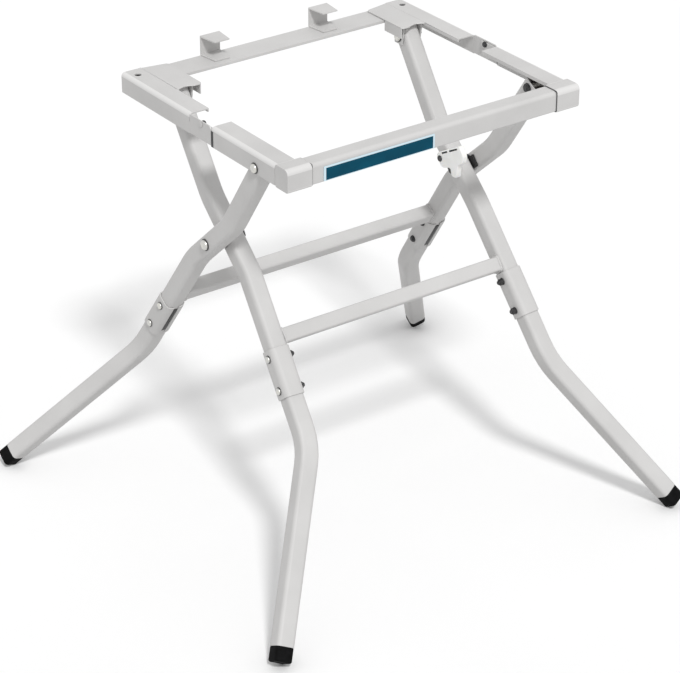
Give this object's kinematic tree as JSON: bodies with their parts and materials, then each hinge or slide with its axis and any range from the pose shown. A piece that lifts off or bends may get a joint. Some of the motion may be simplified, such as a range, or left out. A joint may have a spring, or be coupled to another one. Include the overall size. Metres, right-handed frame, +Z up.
{
  "type": "folding saw stand",
  "caption": "Portable folding saw stand: a low rectangular steel frame with saw hooks, hinged across its middle, on two crossed pairs of bent tube legs with a release lever.",
  "frame": {"origin": "on the floor under the middle of the stand's footprint", "axes": "+Z up, -Y towards the front rail with the label, +X to the right seen from the front"},
  "size_m": [0.7312, 0.6465, 0.6252],
  "materials": {
    "satin_silver_paint": "satin silver paint on steel sheet and tube",
    "zinc_plated_steel": "bright zinc plating on bolts and pins",
    "black_rubber": "matt black rubber feet",
    "black_nylon": "black nylon bushes",
    "white_plastic": "smooth off-white moulded plastic",
    "teal_label": "bare dark teal label"
  },
  "bodies": {
    "front_frame": {"front_rail": "satin_silver_paint", "label_plate": "teal_label", "front_cap_left": "satin_silver_paint", "front_angle_left": "satin_silver_paint", "rear_leg_bolt_left": "zinc_plated_steel", "front_cap_right": "satin_silver_paint", "front_angle_right": "satin_silver_paint", "rear_leg_bolt_right": "zinc_plated_steel"},
    "rear_frame": {"rear_rail": "satin_silver_paint", "rear_angle_left": "satin_silver_paint", "saw_hook_left": "satin_silver_paint", "fold_pin_left": "zinc_plated_steel", "front_leg_bolt_left": "zinc_plated_steel", "rear_angle_right": "satin_silver_paint", "saw_hook_right": "satin_silver_paint", "fold_pin_right": "zinc_plated_steel", "front_leg_bolt_right": "zinc_plated_steel"},
    "rear_legs": {"rear_cross_bar": "satin_silver_paint", "rear_upper_leg_left": "satin_silver_paint", "rear_sleeve_left": "satin_silver_paint", "rear_lower_leg_left": "satin_silver_paint", "rear_foot_left": "black_rubber", "rear_sleeve_bolt_upper_left": "zinc_plated_steel", "rear_sleeve_bolt_lower_left": "zinc_plated_steel", "pivot_head_left": "zinc_plated_steel", "pivot_bush_left": "black_nylon", "rear_upper_leg_right": "satin_silver_paint", "rear_sleeve_right": "satin_silver_paint", "rear_lower_leg_right": "satin_silver_paint", "rear_foot_right": "black_rubber", "rear_sleeve_bolt_upper_right": "zinc_plated_steel", "rear_sleeve_bolt_lower_right": "zinc_plated_steel", "pivot_head_right": "zinc_plated_steel", "pivot_bush_right": "black_nylon"},
    "front_legs": {"front_cross_bar": "satin_silver_paint", "lever_pin": "zinc_plated_steel", "front_upper_leg_left": "satin_silver_paint", "front_sleeve_left": "satin_silver_paint", "front_lower_leg_left": "satin_silver_paint", "front_foot_left": "black_rubber", "front_sleeve_bolt_upper_left": "zinc_plated_steel", "front_sleeve_bolt_lower_left": "zinc_plated_steel", "pivot_nut_left": "zinc_plated_steel", "front_upper_leg_right": "satin_silver_paint", "front_sleeve_right": "satin_silver_paint", "front_lower_leg_right": "satin_silver_paint", "front_foot_right": "black_rubber", "front_sleeve_bolt_upper_right": "zinc_plated_steel", "front_sleeve_bolt_lower_right": "zinc_plated_steel", "pivot_nut_right": "zinc_plated_steel"},
    "release_lever": {"release_lever": "white_plastic"}
  },
  "joints": [
    {"name": "frame_fold", "type": "hinge", "parent": "front_frame", "child": "rear_frame", "pos_m": [0, -0.0057, 0.595], "axis": [1, 0, 0], "range_deg": [0, 147.4]},
    {"name": "rear_legs_swing", "type": "hinge", "parent": "front_frame", "child": "rear_legs", "pos_m": [0, -0.1237, 0.58], "axis": [1, 0, 0], "range_deg": [0, 50]},
    {"name": "front_legs_swing", "type": "hinge", "parent": "rear_frame", "child": "front_legs", "pos_m": [0, 0.1123, 0.58], "axis": [-1, 0, 0], "range_deg": [0, 50]},
    {"name": "lever_release", "type": "hinge", "parent": "front_legs", "child": "release_lever", "pos_m": [0.1622, 0.0063, 0.44298], "axis": [-1, 0, 0], "range_deg": [0, 20], "stiffness_Nm_per_rad": 0.2, "springref_deg": -8.59}
  ],
  "couplings": [
    {"joint": "rear_legs_swing", "follows": "frame_fold", "ratio": 0.33915},
    {"joint": "front_legs_swing", "follows": "frame_fold", "ratio": 0.33915}
  ]
}
